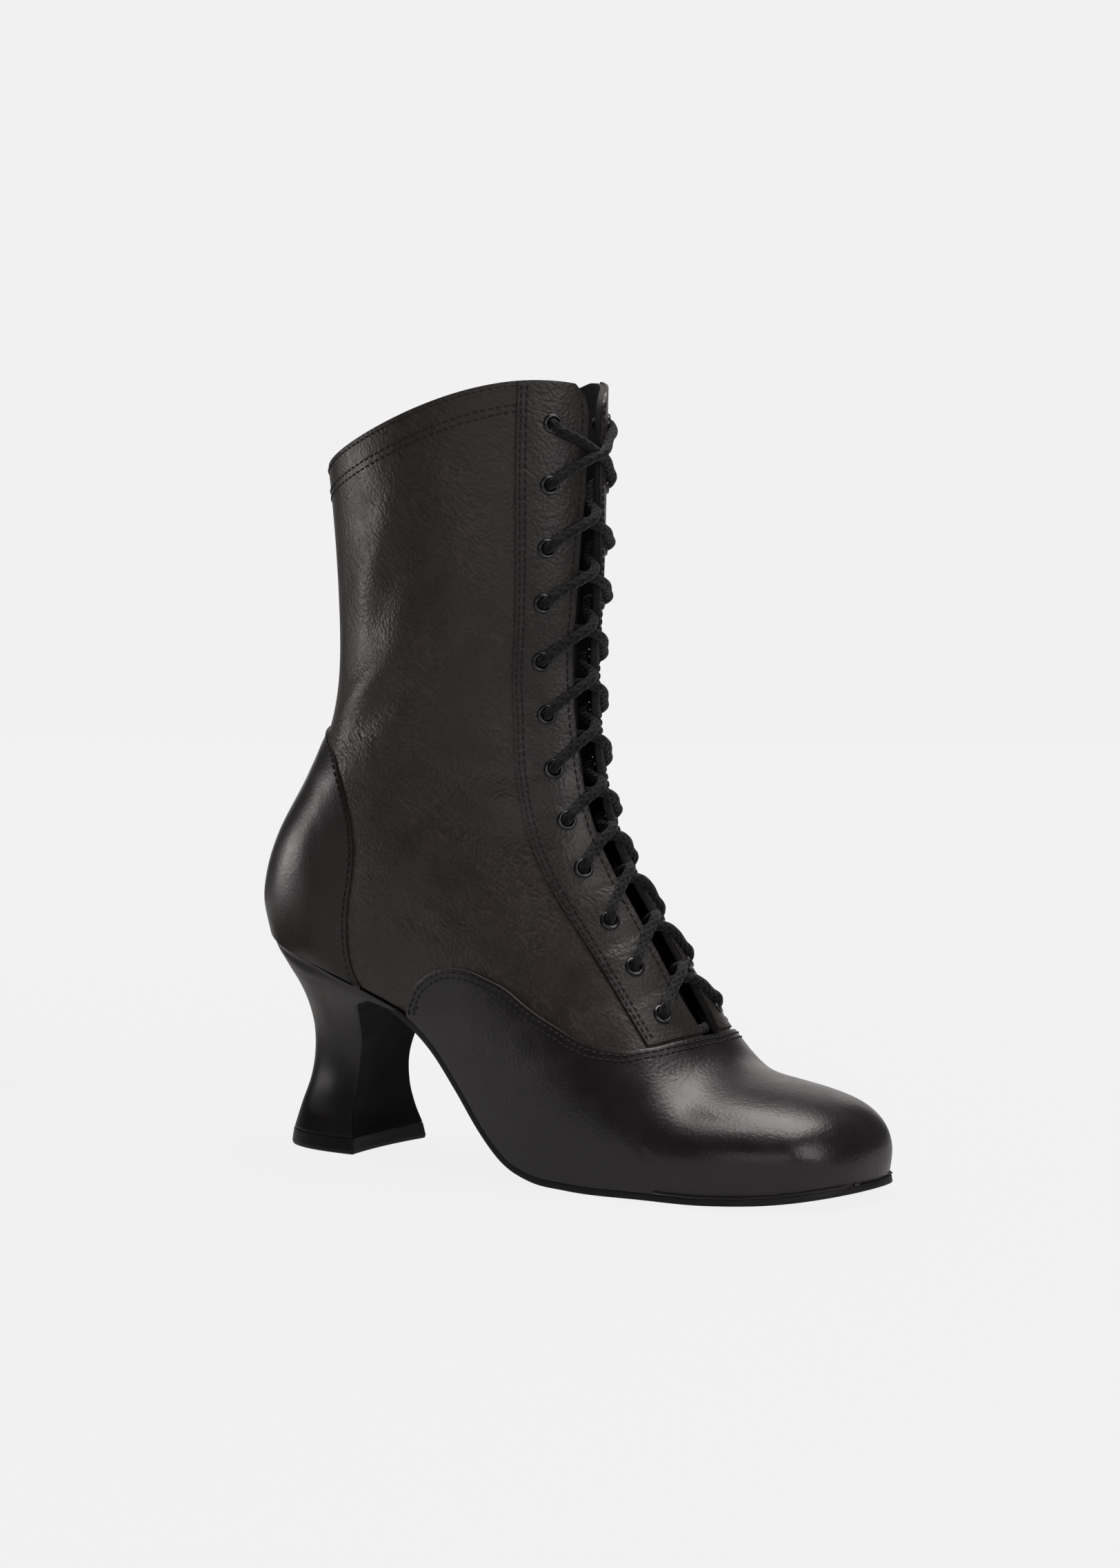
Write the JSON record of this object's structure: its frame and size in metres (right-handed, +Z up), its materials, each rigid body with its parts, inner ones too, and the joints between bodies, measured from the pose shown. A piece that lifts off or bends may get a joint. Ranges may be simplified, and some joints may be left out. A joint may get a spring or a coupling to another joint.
{
  "type": "lace-up dance boot",
  "caption": "Black leather ladies' lace-up ankle boot with a flared, waisted heel, polished vamp and counter, eyelet facings and crossed laces; a right boot, empty.",
  "frame": {"origin": "on the floor, under the middle of the heel's top piece", "axes": "+X towards the toe, +Y towards the inner (medial) side, +Z up"},
  "size_m": [0.2324, 0.0823, 0.2561],
  "materials": {
    "quarter_leather": "semi-gloss, lightly creased",
    "vamp_leather": "polished",
    "counter_leather": "polished",
    "eyestay_leather": "semi-gloss",
    "tongue_leather": "matt",
    "insole_sock": "matt lining leather",
    "sole_leather": "blacked, satin edge",
    "heel_cover": "satin cover over a moulded block",
    "hard_rubber": "glossy",
    "enamelled_metal": "black enamel",
    "lace_braid": "round braided cord"
  },
  "bodies": {
    "root": {"upper": "quarter_leather", "vamp": "vamp_leather", "counter": "counter_leather", "eyestay_lateral": "eyestay_leather", "eyestay_medial": "eyestay_leather", "tongue": "tongue_leather", "insole": "insole_sock", "outsole": "sole_leather", "heel": "heel_cover", "heel_top_piece": "hard_rubber", "eyelet_lateral_01": "enamelled_metal", "eyelet_lateral_02": "enamelled_metal", "eyelet_lateral_03": "enamelled_metal", "eyelet_lateral_04": "enamelled_metal", "eyelet_lateral_05": "enamelled_metal", "eyelet_lateral_06": "enamelled_metal", "eyelet_lateral_07": "enamelled_metal", "eyelet_lateral_08": "enamelled_metal", "eyelet_lateral_09": "enamelled_metal", "eyelet_lateral_10": "enamelled_metal", "eyelet_lateral_11": "enamelled_metal", "eyelet_lateral_12": "enamelled_metal", "eyelet_medial_01": "enamelled_metal", "eyelet_medial_02": "enamelled_metal", "eyelet_medial_03": "enamelled_metal", "eyelet_medial_04": "enamelled_metal", "eyelet_medial_05": "enamelled_metal", "eyelet_medial_06": "enamelled_metal", "eyelet_medial_07": "enamelled_metal", "eyelet_medial_08": "enamelled_metal", "eyelet_medial_09": "enamelled_metal", "eyelet_medial_10": "enamelled_metal", "eyelet_medial_11": "enamelled_metal", "eyelet_medial_12": "enamelled_metal", "lace_crossing_01": "lace_braid", "lace_crossing_02": "lace_braid", "lace_crossing_03": "lace_braid", "lace_crossing_04": "lace_braid", "lace_crossing_05": "lace_braid", "lace_crossing_06": "lace_braid", "lace_crossing_07": "lace_braid", "lace_crossing_08": "lace_braid", "lace_crossing_09": "lace_braid", "lace_crossing_10": "lace_braid", "lace_crossing_11": "lace_braid"}
  },
  "joints": []
}
